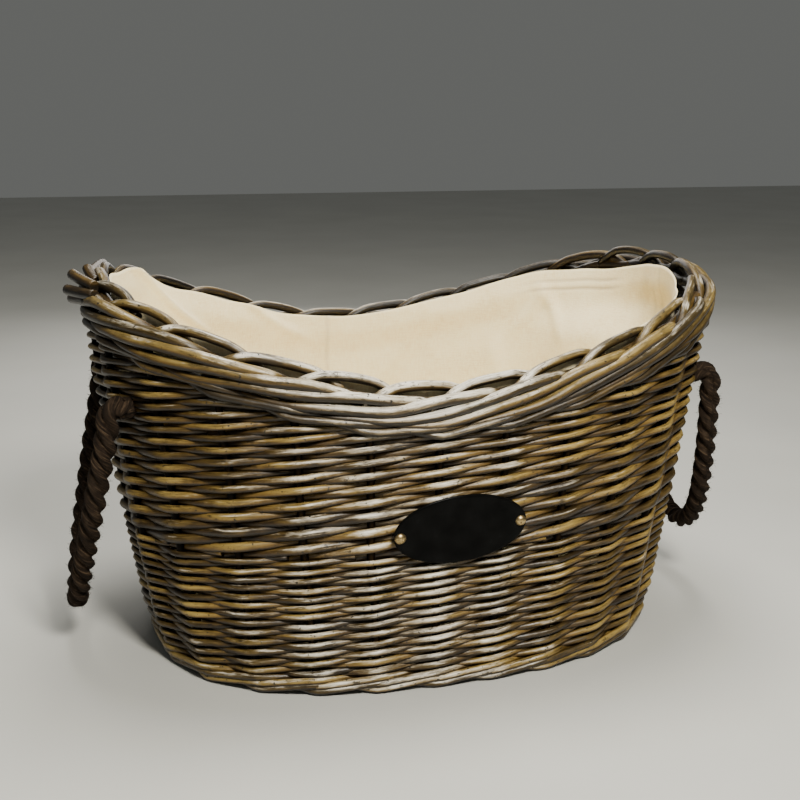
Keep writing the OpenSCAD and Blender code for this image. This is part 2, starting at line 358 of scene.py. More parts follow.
def cloth_material():
    """Unbleached calico: a fine plain weave with slubs, and soft mottling that paints the light and shade
    of small wrinkles.
    """
    n = Nodes("calico")
    place = n.attribute("weave", "Vector")
    # Painted shade: the mottling paints the light and shade of small wrinkles into the colour.
    painted_wrinkle_shade = n.noise(n.place(), 26, 5)
    slub = n.noise(n.scaled(place, (90, 620, 1)), 1.0, 3, 0.7)
    cross = n.noise(n.scaled(place, (620, 90, 1)), 1.0, 3, 0.7)
    threads = n.total((slub, 0.5), (cross, 0.5))
    colour = n.ramp(painted_wrinkle_shade, (0.3, (0.84, 0.68, 0.37)), (0.7, (0.97, 0.83, 0.51)))
    colour = n.mix(n.remap(threads, 0.40, 0.60, 0.0, 0.75), colour, (0.99, 0.90, 0.61))
    # Darker along the hem lines and seams.
    hem_seam_darkening = n.attribute("hem_seam_darkening")
    colour = n.mix(hem_seam_darkening, colour, (0.42, 0.31, 0.17))
    normal = n.bump(threads, 0.8, 0.0010)
    return n.finish(colour, 0.95, normal, Sheen_Weight=0.15)


def rope_material():
    """Dark brown hairy rope with fine yarns along each strand."""
    n = Nodes("rope_fibre")
    grain = n.attribute("grain", "Vector")
    yarn = n.noise(n.scaled(grain, (60, 430, 1)), 1.0, 4, 0.75)
    dust = n.noise(n.place(), 90, 4)
    dark, middle, light = (0.003, 0.002, 0.001), (0.020, 0.012, 0.007), (0.100, 0.066, 0.038)
    colour = n.ramp(yarn, (0.36, dark), (0.54, middle), (0.70, light))
    colour = n.mix(n.remap(dust, 0.55, 0.8, 0.0, 0.30), colour, (0.075, 0.052, 0.034))
    normal = n.bump(yarn, 1.0, 0.0020)
    return n.finish(colour, 0.9, normal, Specular_IOR_Level=0.15)


def plaque_material():
    """Black enamel with a weak shine, very slightly uneven."""
    n = Nodes("black_enamel")
    wave = n.noise(n.place(), 60, 3)
    colour = n.ramp(wave, (0.3, (0.002, 0.002, 0.002)), (0.8, (0.005, 0.005, 0.005)))
    normal = n.bump(wave, 0.08, 0.0006)
    return n.finish(colour, n.remap(wave, 0.3, 0.7, 0.16, 0.28), normal, Specular_IOR_Level=0.03)


def brass_material():
    """Antique brass, darker in patches."""
    n = Nodes("antique_brass")
    patch = n.noise(n.place(), 700, 4)
    colour = n.ramp(patch, (0.3, (0.16, 0.11, 0.05)), (0.6, (0.55, 0.41, 0.20)), (0.8, (0.72, 0.58, 0.33)))
    return n.finish(colour, n.remap(patch, 0.3, 0.7, 0.5, 0.25), n.bump(patch, 0.2, 0.0003), Metallic=1.0)


WEAVE = willow_material(
    "willow_weave", (0.024, 0.014, 0.003), (0.112, 0.072, 0.017), (0.31, 0.215, 0.060), 0.92)
BORDER = willow_material(
    "willow_border", (0.026, 0.017, 0.004), (0.092, 0.062, 0.017), (0.24, 0.168, 0.050), 0.72,
    reach=0.17, painted_shade_reach=0.90)
STAKE = willow_material(
    "willow_stake", (0.012, 0.007, 0.002), (0.045, 0.027, 0.008), (0.10, 0.065, 0.02), 0.0, gloss=0.05)
CALICO = cloth_material()
ROPE = rope_material()
ENAMEL = plaque_material()
BRASS = brass_material()

# --- Meshes ------------------------------------------------------------------------------


def add_mesh(name, points, faces, material, attributes=(), flat_faces=0):
    """A smooth mesh object with extra values on its points. The last flat_faces faces stay flat."""
    mesh = bpy.data.meshes.new(name)
    mesh.from_pydata([tuple(p) for p in points], [], faces)
    smooth = np.ones(len(mesh.polygons), bool)
    if flat_faces:
        smooth[-flat_faces:] = False
    mesh.polygons.foreach_set("use_smooth", smooth)
    for key, values in attributes:
        values = np.asarray(values, np.float32)
        kind, field = ("FLOAT_VECTOR", "vector") if values.ndim == 2 else ("FLOAT", "value")
        mesh.attributes.new(key, kind, "POINT").data.foreach_set(field, values.ravel())
    mesh.materials.append(material)
    mesh.update()
    made = bpy.data.objects.new(name, mesh)
    bpy.context.scene.collection.objects.link(made)
    return made


GRAIN_SPREAD = 37


def rod(path, out, radius, front=1.0, tone=None):
    """One willow rod: its centreline, the way out of the wall at each point and its radius.
    front scales the rod's painted light: 1 where it stands out of the wall, lower where it is at the back,
    for painted shade."""
    count = len(path)
    return {
        "path": np.asarray(path, float),
        "out": np.broadcast_to(np.asarray(out, float), (count, 3)),
        "radius": np.broadcast_to(np.asarray(radius, float), (count,)),
        "front": np.broadcast_to(np.asarray(front, float), (count,)),
        "tone": rng.random() if tone is None else tone,
    }


def rods_mesh(name, rods, material, sides=9):
    """All rods as one mesh of round tubes with capped ends."""
    turn = np.arange(sides) * 2 * math.pi / sides
    points, grain, tone, painted_light, faces, caps = [], [], [], [], [], []
    start = 0
    for item in rods:
        path, radius = item["path"], item["radius"]
        along = unit(np.gradient(path, axis=0))
        u = unit(item["out"] - (item["out"] * along).sum(-1, keepdims=True) * along)
        v = np.cross(along, u)
        normal = np.cos(turn)[None, :, None] * u[:, None] + np.sin(turn)[None, :, None] * v[:, None]
        ring = path[:, None] + radius[:, None, None] * normal
        run = path_length(path)
        count = len(path)
        points.append(ring.reshape(-1, 3))
        seed = item["tone"] * GRAIN_SPREAD
        grain.append(np.stack([
            np.repeat(run, sides) + seed,
            np.tile(np.abs(turn - math.pi) * radius.mean(), count),
            np.full(count * sides, seed)], -1))
        tone.append(np.full(count * sides, item["tone"]))
        # Painted light: a rod is lighter where it faces out of the wall and up, and in painted shade where
        # it faces down or in; front scales this down at the back.
        out_share = (normal * item["out"][:, None]).sum(-1)
        lit = np.clip(0.55 * out_share + 0.5 * normal[..., 2] + 0.15, 0, 1)
        painted_light.append((lit * item["front"][:, None]).ravel())
        for i in range(count - 1):
            for j in range(sides):
                a = start + i * sides + j
                b = start + i * sides + (j + 1) % sides
                faces.append((a, b, b + sides, a + sides))
        caps.append(tuple(range(start + sides - 1, start - 1, -1)))
        caps.append(tuple(range(start + (count - 1) * sides, start + count * sides)))
        start += count * sides
    return add_mesh(name, np.vstack(points), faces + caps, material, (
        ("grain", np.vstack(grain)), ("tone", np.concatenate(tone)), ("painted_light", np.concatenate(painted_light))),
        flat_faces=len(caps))


def wobble(place, size):
    """A slow random waver along a rod."""
    a, b = rng.uniform(0, 2 * math.pi, 2)
    return size * (0.6 * np.sin(place * 2.1 + a) + 0.4 * np.sin(place * 4.7 + b))


# --- Rope handles ------------------------------------------------------------------------

ROPE_D = 0.022
HOLE = (0.298, 0.104, 0.280)
HOLE_TURN = math.radians(30)
PIVOT_OUT = ROPE_D / 2 + 0.003
LEFT_ROUTE = (
    (0.312, 0.109, 0.258), (0.319, 0.102, 0.224), (0.328, 0.092, 0.184), (0.336, 0.077, 0.146),
    (0.343, 0.060, 0.112), (0.349, 0.041, 0.080), (0.352, 0.020, 0.060), (0.353, 0.000, 0.053),
)
RIGHT_ROUTE = (
    (0.311, 0.109, 0.258), (0.316, 0.102, 0.224), (0.322, 0.092, 0.188), (0.329, 0.078, 0.152),
    (0.336, 0.062, 0.122), (0.342, 0.043, 0.098), (0.346, 0.021, 0.082), (0.347, 0.000, 0.077),
)
ROPE_LAY = 0.060
STRAND_R = 0.0056
STRAND_OUT = 0.0054
ROPE_SIDES = 36
ROPE_IN_WALL = 0.010
ROPE_SPACING = 0.0022
ROPE_HAIRS = 1600
HAIR_THICK = 0.00019
HAIR_REACH = 0.0155
KNOT_IN = 0.0335
KNOT_ROUNDS = 3
KNOT_BIGHTS = 4
KNOT_REACH = 0.0088
KNOT_WAVE = 0.0040
KNOT_DEPTH = 0.0062
KNOT_STRAND_R = 0.0056


def hole_point(end, side, out):
    """A point on the line of a rope hole, a distance out from the wall's face."""
    return np.array([
        end * (HOLE[0] + out * math.cos(HOLE_TURN)),
        side * (HOLE[1] + out * math.sin(HOLE_TURN)),
        HOLE[2],
    ])


def loop_path(end, route):
    """The rope's centreline from inside the wall at the front hole to the back one."""
    front = [(end * x, -y, z) for x, y, z in route]
    back = [(x, -y, z) for x, y, z in front[-2::-1]]
    outs = (-ROPE_IN_WALL, PIVOT_OUT * 0.75)
    start = [hole_point(end, -1, out) for out in outs]
    finish = [hole_point(end, 1, out) for out in reversed(outs)]
    return spline([*start, *front, *back, *finish], 10)


def strand_profile(angle):
    """Distance from the rope's centreline to its surface, for three round strands."""
    third = 2 * math.pi / 3
    off = (angle + third / 2) % third - third / 2
    side = STRAND_OUT * np.sin(off)
    return STRAND_OUT * np.cos(off) + np.sqrt(np.maximum(STRAND_R**2 - side**2, 0))


def even_path(path, spacing):
    """The same path with points at an even spacing."""
    run = path_length(path)
    places = np.linspace(0, run[-1], max(int(run[-1] / spacing), 8))
    return np.stack([np.interp(places, run, path[:, k]) for k in range(3)], -1), places


def rope_frames(path):
    """Two directions across the path at each point, carried along it without twist."""
    along = unit(np.gradient(path, axis=0))
    u = unit(np.cross(along[0], (0.3, 0.2, 1.0)))
    across = []
    for direction in along:
        u = unit(u - np.dot(u, direction) * direction)
        across.append(u)
    across = np.array(across)
    return along, across, np.cross(along, across)


def rope_mesh(name, path):
    """A three-strand laid rope with loose fibres standing out of it."""
    path, places = even_path(path, ROPE_SPACING)
    along, u, v = rope_frames(path)
    turn = np.arange(ROPE_SIDES) * 2 * math.pi / ROPE_SIDES
    twist = -2 * math.pi * places / ROPE_LAY
    strand_angle = turn[None] - twist[:, None]
    radius = strand_profile(strand_angle)
    normal = np.cos(turn)[None, :, None] * u[:, None] + np.sin(turn)[None, :, None] * v[:, None]
    ring = path[:, None] + radius[..., None] * normal
    count = len(path)
    faces = [
        (i * ROPE_SIDES + j, i * ROPE_SIDES + (j + 1) % ROPE_SIDES,
         (i + 1) * ROPE_SIDES + (j + 1) % ROPE_SIDES, (i + 1) * ROPE_SIDES + j)
        for i in range(count - 1) for j in range(ROPE_SIDES)
    ]
    faces.append(tuple(range(ROPE_SIDES - 1, -1, -1)))
    faces.append(tuple(range((count - 1) * ROPE_SIDES, count * ROPE_SIDES)))
    across = strand_angle * 0.006 + places[:, None] * 0.35
    grain = np.stack([np.repeat(places, ROPE_SIDES), across.ravel(), np.zeros(count * ROPE_SIDES)], -1)
    points = ring.reshape(-1, 3)
    hair_points, hair_faces = rope_hairs(path, along, u, v, radius, turn, len(points))
    grain = np.vstack([grain, np.zeros((len(hair_points), 3))])
    return add_mesh(name, np.vstack([points, hair_points]), faces + hair_faces, ROPE, (("grain", grain),))


def rope_hairs(path, along, u, v, radius, turn, start):
    """Thin bent fibres: each a three-sided spike of two joints."""
    points, faces = [], []
    for _ in range(ROPE_HAIRS):
        i = rng.integers(2, len(path) - 2)
        j = rng.integers(0, len(turn))
        normal = math.cos(turn[j]) * u[i] + math.sin(turn[j]) * v[i]
        side = np.cross(normal, along[i])
        root = path[i] + normal * (radius[i, j] - 0.0006)
        lean = along[i] * rng.uniform(-1, 1) + side * rng.uniform(-1, 1)
        length = rng.uniform(0.0018, 0.0052)
        middle = root + (normal * 0.6 + lean * 0.5) * length
        tip = middle + (normal * 0.35 + lean * 0.7) * length
        tip = path[i] + unit(tip - path[i]) * min(np.linalg.norm(tip - path[i]), HAIR_REACH)
        base = start + len(points)
        for centre, size in ((root, HAIR_THICK), (middle, HAIR_THICK * 0.8)):
            for k in range(3):
                a = k * 2 * math.pi / 3
                points.append(centre + size * (math.cos(a) * side + math.sin(a) * along[i]))
        points.append(tip)
        for k in range(3):
            a, b = base + k, base + (k + 1) % 3
            faces.append((a, b, b + 3, a + 3))
            faces.append((a + 3, b + 3, base + 6))
    return np.array(points).reshape(-1, 3), faces


def make_handle(name, end, route, node):
    """One rope loop, from inside the wall at its front hole round to its back hole, in place of its CAD
    node.
    """
    path = loop_path(end, route)
    rope = rope_mesh(name, path)
    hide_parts(node)
    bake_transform(rope)


make_handle("left_rope", -1, LEFT_ROUTE, "left_rope_handle")
make_handle("right_rope", 1, RIGHT_ROUTE, "right_rope_handle")


def knot_path(end, side):
    """A rope end that runs in through the wall and winds into a flat woven button."""
    centre = hole_point(end, side, -KNOT_IN)
    inwards = unit(hole_point(end, side, -1.0) - hole_point(end, side, 0.0))
    up = np.array([0.0, 0.0, 1.0])
    across = np.cross(inwards, up)
    turn = np.linspace(0, 2 * math.pi * KNOT_ROUNDS, 90)
    reach = KNOT_REACH + KNOT_WAVE * np.cos(turn * KNOT_BIGHTS / KNOT_ROUNDS)
    depth = KNOT_DEPTH * np.sin(turn * KNOT_BIGHTS / KNOT_ROUNDS)
    return centre + np.outer(reach * np.cos(turn), across) + np.outer(reach * np.sin(turn), up) \
        + np.outer(depth, inwards)


def knot_mesh(name, end, side):
    """The rope's stub in the wall and the button at its end, as one piece."""
    stub = np.array([hole_point(end, side, out) for out in np.linspace(-0.002, -KNOT_IN, 6)])
    strands = [rod(knot_path(end, side), (0, 0, 1), KNOT_STRAND_R)]
    strands.append(rod(stub, (0, 0, 1), ROPE_D / 2 - 0.0012))
    return rods_mesh(name, strands, ROPE, 12)


def make_knots():
    for end, end_name in ((-1, "left"), (1, "right")):
        for side, side_name in ((-1, "front"), (1, "back")):
            node = f"{end_name}_{side_name}_knot"
            knot = knot_mesh(node + "_rope", end, side)
            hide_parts(node)
            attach(knot, "basket")


make_knots()

# --- Woven wall --------------------------------------------------------------------------

# Rods have a point at every STEP of a stake's spacing. PROUD is how far they stand out past
# the wall's face, LIFT how far they rise over a stake, and TUCK how far above its limit a rod
# has fully slid in under the wale.
STEP = 1 / 8
SHORTEST_RUN = 6
MIDDLE_INSET = WALL / 2
PROUD = -0.0006
LIFT = 0.0015
TUCK = 0.014
CORNER_ROUNDING = ((-0.11, 0.3), (0.0, 0.4), (0.11, 0.3))


def weave_inset(place, radius):
    """Distance in from the outer face for a rod at the back of even stakes and the front of
    odd ones."""
    swing = MIDDLE_INSET - radius + PROUD
    return MIDDLE_INSET + swing * np.cos(math.pi * place)


def between_stakes(place, values):
    """Straight from each whole place to the next, with the corners a little rounded."""
    whole = np.arange(math.floor(place[0]) - 1, math.ceil(place[-1]) + 2)
    corners = values(whole)
    total = 0.0
    for shift, share in CORNER_ROUNDING:
        parts = [np.interp(place + shift, whole, corners[:, axis]) for axis in range(corners.shape[1])]
        total = total + share * np.stack(parts, -1)
    return total


def kept_runs(keep):
    """Start and end of each stretch of kept points, apart from the shortest scraps."""
    edges = np.flatnonzero(np.diff(np.concatenate([[0], keep.astype(int), [0]])))
    return [(a, b) for a, b in zip(edges[::2], edges[1::2]) if b - a >= SHORTEST_RUN]


def rand_rods(strokes, height, thick, thin, limit=None):
    """French randing: one tapered rod for each stake, in front of one stake and behind the
    next, each a step higher, so that all rods slant up together. A rod that reaches the limit
    slides in under the wale, thinner and thinner."""
    made = []
    for i in range(STAKES):
        place = np.arange(-0.25, strokes + 0.8, STEP)
        share = np.clip(place / strokes, 0, 1)
        radius = (thick + (thin - thick) * share) / 2 * rng.uniform(0.92, 1.06)
        waver_a, waver_b = rng.uniform(0, 2 * math.pi, 2)
        raised = rng.uniform(-0.0006, 0.0006)

        def corner(k):
            z = height(k) - LIFT * np.cos(math.pi * k) + raised
            z = z + 0.0006 * np.sin(k * 2.1 + waver_a) + 0.0004 * np.sin(k * 4.7 + waver_b)
            inset = weave_inset(k, radius.mean())
            tucked = np.zeros_like(inset)
            if limit is not None:
                over = z - limit(angle_at(i + k))
                tucked = smoothstep(over, -0.2 * TUCK, TUCK)
                z = z - np.where(over > 0, over * 0.85, 0)
                inset = inset + (MIDDLE_INSET + 0.003 - inset) * tucked
                tucked = np.where(over > TUCK, 2.0, tucked)
            return np.column_stack([wall_point(i + k, z, inset), inset, tucked])

        track = between_stakes(place, corner)
        path, inset, tucked = track[:, :3], track[:, 3], track[:, 4]
        radius = radius * (1 - 0.5 * np.clip(tucked, 0, 1))
        # Painted shade: a rod gets less painted light where it passes behind a stake.
        front = np.clip(1.12 - inset / WALL * 1.15, 0.50, 1)
        out = outward(i + place, path[:, 2])
        tone = rng.random()
        for a, b in kept_runs(tucked < 1.02):
            made.append(rod(path[a:b], out[a:b], radius[a:b], front[a:b], tone))
    return made


def weave_top(angle):
    """How high the woven rods reach before they slide in under the wale."""
    return rim_z(angle) - WEAVE_DROP + 0.001


LOWER_STROKES = 26
UPPER_STROKES = 17
PACKING_STROKES = 17
PACKING_Z = 0.264


def lower_height(place):
    """Height of a lower rod after that many strokes."""
    share = np.clip(place / LOWER_STROKES, -0.1, 1.1)
    return FOOT_TOP_Z + 0.002 + (BAND_Z - FOOT_TOP_Z - 0.002) * (1.12 * share - 0.12 * share**2)


def upper_height(place):
    """Height of an upper rod, which starts just over the band."""
    share = np.clip(place / UPPER_STROKES, -0.1, 1.1)
    return BAND_Z + 0.003 + (PACKING_Z - BAND_Z - 0.004) * (1.18 * share - 0.18 * share**2)


def packing_height(place):
    """Height of a packing rod, which climbs on towards the ends of the rim."""
    return PACKING_Z + 0.004 + 0.0058 * place


def ride_in_basket(piece, slot, *nodes):
    """Puts a piece on the basket's body, in place of its CAD nodes."""
    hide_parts(*nodes)
    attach(piece, "basket")
    return piece


def make_wall():
    """The three courses of randing: lower, upper and the packing at the two ends."""
    lower = rand_rods(LOWER_STROKES, lower_height, 0.0070, 0.0056)
    ride_in_basket(rods_mesh("lower_randing", lower, WEAVE), "weave", "lower_weave")
    upper = rand_rods(UPPER_STROKES, upper_height, 0.0096, 0.0066, weave_top)
    ride_in_basket(rods_mesh("upper_randing", upper, WEAVE), "weave", "upper_weave")
    packing = rand_rods(PACKING_STROKES, packing_height, 0.0068, 0.0056, weave_top)
    ride_in_basket(rods_mesh("end_packing", packing, WEAVE), "weave", "left_packing", "right_packing")


def wale_rods(level, thickness, follow_rim, rise, start=0.0):
    """A wale of three strands: each passes outside two stakes, rising, and inside the third."""
    made = []
    for k in range(3):
        place = np.arange(0, STAKES + 1.2, STEP)
        offset = k + start
        radius = thickness / 2 * rng.uniform(0.93, 1.05)

        def corner(whole):
            inside = whole % 3 == 2
            base = (rim_z(angle_at(whole + offset)) if follow_rim else 0) + level
            z = base + rise * np.where(inside, 0.1, np.where(whole % 3 == 0, -0.5, 0.4))
            inset = np.where(inside, 0.0165, radius - 0.0018)
            return np.column_stack([wall_point(whole + offset, z, inset), inset])

        track = between_stakes(place, corner)
        # Painted shade: strands inside the stakes get less painted light, and none gets the full amount.
        front = np.clip(1.0 - track[:, 3] / WALL, 0.3, 0.8)
        out = outward(place + offset, track[:, 2])
        made.append(rod(track[:, :3], out, radius * np.ones(len(place)), front))
    return made


def make_wales():
    """The foot's two rounds of wale and the one under the border."""
    foot = wale_rods(0.0090, 0.0074, False, 0.0090) + wale_rods(0.0150, 0.0070, False, 0.0080, 1.0)
    ride_in_basket(rods_mesh("foot_rods", foot, WEAVE), "weave", "foot_wale")
    top = wale_rods(-WEAVE_DROP + 0.0045, 0.0070, True, 0.0090)
    ride_in_basket(rods_mesh("wale_rods", top, BORDER, 10), "border_rod", "top_wale")


# The border's two families of rods, each point as stakes along from the rod's own stake,
# inset and height from the rim. A top rod rises at its stake, turns right along the inner
# edge and dips under the next one.
TOP_ROD = (
    (-0.16, 0.0120, -0.0340), (-0.05, 0.0125, -0.0225), (0.07, 0.0138, -0.0135), (0.22, 0.0160, -0.0068),
    (0.42, 0.0192, -0.0014), (0.68, 0.0222, 0.0012), (0.95, 0.0238, 0.0014), (1.18, 0.0244, 0.0000),
    (1.38, 0.0236, -0.0050), (1.56, 0.0212, -0.0105),
)
# An outer rod lies under the top rod of its own stake, passes behind that stake, comes out
# to the front, slants down across the next stakes on the left and tucks in.
OUTER_ROD = (
    (1.06, 0.0180, -0.0165), (0.75, 0.0185, -0.0140), (0.50, 0.0188, -0.0140), (0.25, 0.0198, -0.0155),
    (0.02, 0.0212, -0.0165), (-0.14, 0.0168, -0.0142), (-0.32, 0.0108, -0.0102), (-0.60, 0.0070, -0.0086),
    (-1.00, 0.0052, -0.0100), (-1.50, 0.0042, -0.0150), (-2.00, 0.0036, -0.0202), (-2.50, 0.0034, -0.0252),
    (-3.00, 0.0034, -0.0298), (-3.30, 0.0042, -0.0324), (-3.60, 0.0062, -0.0346), (-3.90, 0.0095, -0.0362),
)


TOP_ROD_R = 0.0051
OUTER_ROD_R = 0.0057


def border_rod(steps, stake, radius):
    """One rod of the border at a stake, from its table of steps."""
    place, inset, height = steps.T
    stake = stake + place * rng.uniform(0.96, 1.05) + wobble(place, 0.05)
    inset = inset + wobble(place, 0.0012)
    z = rim_z(angle_at(stake)) + height + wobble(place, 0.0018)
    out = unit(outward(stake, z) + np.array([0, 0, 0.8]))
    # Painted shade under the top rods and on the lower outer strands, and a painted highlight, partly
    # rubbed wear, on each top rod's bend.
    front = 1 - 0.5 * smoothstep(inset, 0.010, 0.018) * smoothstep(-height, 0.004, 0.012)
    front = front * (1 - 0.45 * smoothstep(-height, 0.020, 0.036))
    front = front + 0.7 * np.exp(-(((place - 0.2) / 0.12) ** 2)) * smoothstep(height, -0.010, -0.004)
    return rod(wall_point(stake, z, inset), out, radius, front)


def border_rods():
    """The rolled border, with one rod of each family to a stake."""
    made = []
    top = spline(TOP_ROD, 5)
    outer = spline(OUTER_ROD, 5)
    for i in range(STAKES):
        taper = np.interp(top[:, 0], (0, 1.5), (1.0, 0.86))
        made.append(border_rod(top, i, TOP_ROD_R * rng.uniform(0.93, 1.07) * taper))
        taper = np.interp(outer[:, 0], (-3.9, -3.4, -2.8, -2, 1), (0.40, 0.62, 0.80, 0.93, 1.0))
        made.append(border_rod(outer, i, OUTER_ROD_R * rng.uniform(0.93, 1.07) * taper))
    return made


# Cut ends at the left end: stake, inset, height from the rim, and how far each rod runs
# round towards the back, outwards and up
CUT_ENDS = (
    (13.35, 0.006, 0.000, 0.030, 0.011, 0.004), (13.5, 0.002, -0.008, 0.030, 0.013, 0.000),
    (12.9, 0.014, 0.000, 0.012, 0.006, 0.007), (12.3, 0.014, 0.001, 0.040, -0.004, 0.001),
    (13.3, 0.000, -0.016, 0.026, 0.008, -0.003), (12.1, 0.019, 0.000, 0.034, 0.002, 0.002),
)


def cut_ends():
    """The left end's cut rods, which stand a little out of the border."""
    made = []
    for stake, inset, height, back, out_reach, up in CUT_ENDS:
        place = np.array([float(stake)])
        foot = wall_point(place, rim_z(angle_at(place)) + height, inset)[0]
        out = outward(place, RIM_END_Z)[0]
        heading = back * np.array([out[1], -out[0], 0.0]) + out_reach * out + up * np.array([0.0, 0.0, 1.0])
        share = np.linspace(-0.5, 1.0, 9)[:, None]
        path = foot + heading * share - out * 0.002 * share**2
        # The cut ends get less painted light, for a little painted shade.
        made.append(rod(path, (0, 0, 1), rng.uniform(0.0046, 0.0054), 0.6))
    return made


def make_border():
    ride_in_basket(rods_mesh("border_rods", border_rods() + cut_ends(), BORDER, 12), "border_rod", "border")


STAKE_POINTS = 24
# Where each group of stakes ends, as a share of the way round from the right end
STAKE_GROUPS = (
    (0.12, "right_stakes"), (0.38, "back_stakes"), (0.62, "left_stakes"), (0.90, "front_stakes"),
)


def stake_group(i):
    """The CAD node that holds a stake, by how far round the wall it stands."""
    share = (i + STAKE_PHASE) / STAKES
    for limit, name in STAKE_GROUPS:
        if share < limit:
            return name
    return "right_stakes"


def make_stakes():
    """The upright stakes, one mesh for each group of them."""
    names = ("front_stakes", "back_stakes", "left_stakes", "right_stakes")
    groups = {name: [] for name in names}
    for i in range(STAKES):
        place = np.full(STAKE_POINTS, i)
        z = np.linspace(0.006, rim_z(angle_at(i)) - 0.028, STAKE_POINTS)
        inset = np.full(STAKE_POINTS, MIDDLE_INSET) + wobble(z * 30, 0.0006)
        path = wall_point(place + wobble(z * 20, 0.02), z, inset)
        radius = np.linspace(0.0042, 0.0036, STAKE_POINTS)
        # The stakes get only about a third of the painted light, so they sit mostly in painted shade.
        groups[stake_group(i)].append(rod(path, outward(place, z), radius, 0.35))
    for name, items in groups.items():
        ride_in_basket(rods_mesh(name + "_rods", items, STAKE, 8), "stake", name)


make_wall()
make_wales()
make_border()
make_stakes()

# --- Base --------------------------------------------------------------------------------


BASE_RINGS = 24
BASE_PITCH = 0.0072
BASE_EDGE = 0.006
BASE_ROD_R = 0.0034
BASE_LIFT = 0.0028
BASE_CROSSINGS = 18


def make_base():
    """Weavers that go round the base sticks in flat ovals, over one and under the next."""
    low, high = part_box("base_weave")
    middle = (low.z + high.z) / 2
    rods = []
    for k in range(BASE_RINGS):
        inset = BASE_EDGE + k * BASE_PITCH
        angle = np.linspace(0, 2 * math.pi, 181)
        x, y = oval(angle, high.x - inset, high.y - inset)
        lift = BASE_LIFT * np.sin(angle * BASE_CROSSINGS + k * math.pi)
        path = np.stack([x, y, middle + lift], -1)
        # The base weavers get half the painted light, for painted shade.
        rods.append(rod(path, (0, 0, -1), BASE_ROD_R * rng.uniform(0.92, 1.05), 0.5))
    ride_in_basket(rods_mesh("base_weavers", rods, WEAVE, 7), "weave", "base_weave")
    for name, grain_scale in (("base_long_sticks", (14, 260, 260)), ("base_cross_sticks", (260, 14, 260))):
        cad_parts[name].data.materials.clear()
        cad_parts[name].data.materials.append(stick_material(name + "_willow", grain_scale))


make_base()

# --- Liner -------------------------------------------------------------------------------

LINER_INSET = WALL + 0.0015
LINER_HEAD = 0.0305
LINER_TOP_DROP = 0.0035
LINER_FLOOR_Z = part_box("liner_floor")[0].z + 0.001
LINER_BULGE = 0.034
# Peaks (+) and dips (-) of the liner's top edge: degrees round, height, width
LINER_PEAKS = (
    (151, 0.0075, 9), (137, -0.0045, 7), (112, 0.0030, 5), (106, -0.0035, 6), (84, 0.0015, 8),
    (187, -0.0020, 14), (338, -0.0080, 10), (318, -0.0040, 12), (20, -0.0150, 18),
)
# Folds hanging from the top edge: degrees round at the top, drift in degrees as it falls,
# depth below the edge where it is deepest, its length and how far it stands out
LINER_FOLDS = (
    (151, -26, 0.014, 0.028, 0.0085), (111, -12, 0.008, 0.022, 0.0040), (49, -14, 0.046, 0.030, 0.0045),
    (39, 16, 0.044, 0.026, 0.0035), (205, 10, 0.060, 0.050, 0.0030), (0, 2, 0.040, 0.050, 0.0025),
    (338, -4, 0.040, 0.060, 0.0020), (78, 12, 0.070, 0.040, 0.0030), (66, -10, 0.100, 0.040, 0.0030),
)
SEAMS = (95, 357)
HEM_LINES = (0.013, 0.022)
HEM_WIDTH = 0.0010
LINER_COLUMNS = 520
LINER_ROWS = 90
MEAN_RADIUS = 0.27
CLOTH_THICKNESS = 0.0012


def waver(angle, waves, seed):
    """A smooth random function round the basket."""
    local = np.random.default_rng(seed)
    total = np.zeros_like(angle)
    for wave in waves:
        total += local.uniform(0.5, 1.0) * np.sin(wave * angle + local.uniform(0, 2 * math.pi))
    return total / math.sqrt(len(waves))


def turn_between(angle, degrees):
    """How far an angle lies from a place round the basket, in degrees."""
    return (np.degrees(angle) - degrees + 180) % 360 - 180


def liner_top(angle):
    """Height of the liner's top edge."""
    top = rim_z(angle) - LINER_TOP_DROP + 0.0012 * waver(angle, (9, 14, 23), 5)
    for degrees, height, width in LINER_PEAKS:
        top += height * np.exp(-((turn_between(angle, degrees) / width) ** 2))
    return top


def liner_bulge(stake, z):
    """How far the knots behind the cloth push it in."""
    x, y, _ = wall_point(stake, np.full_like(z, HOLE[2]), 0.0).T
    away = np.hypot(np.abs(x) - HOLE[0], np.abs(y) - HOLE[1])
    tall = np.where(z < HOLE[2], 0.130, 0.044)
    return LINER_BULGE * np.exp(-((away / 0.085) ** 2) - ((z - HOLE[2]) / tall) ** 2)


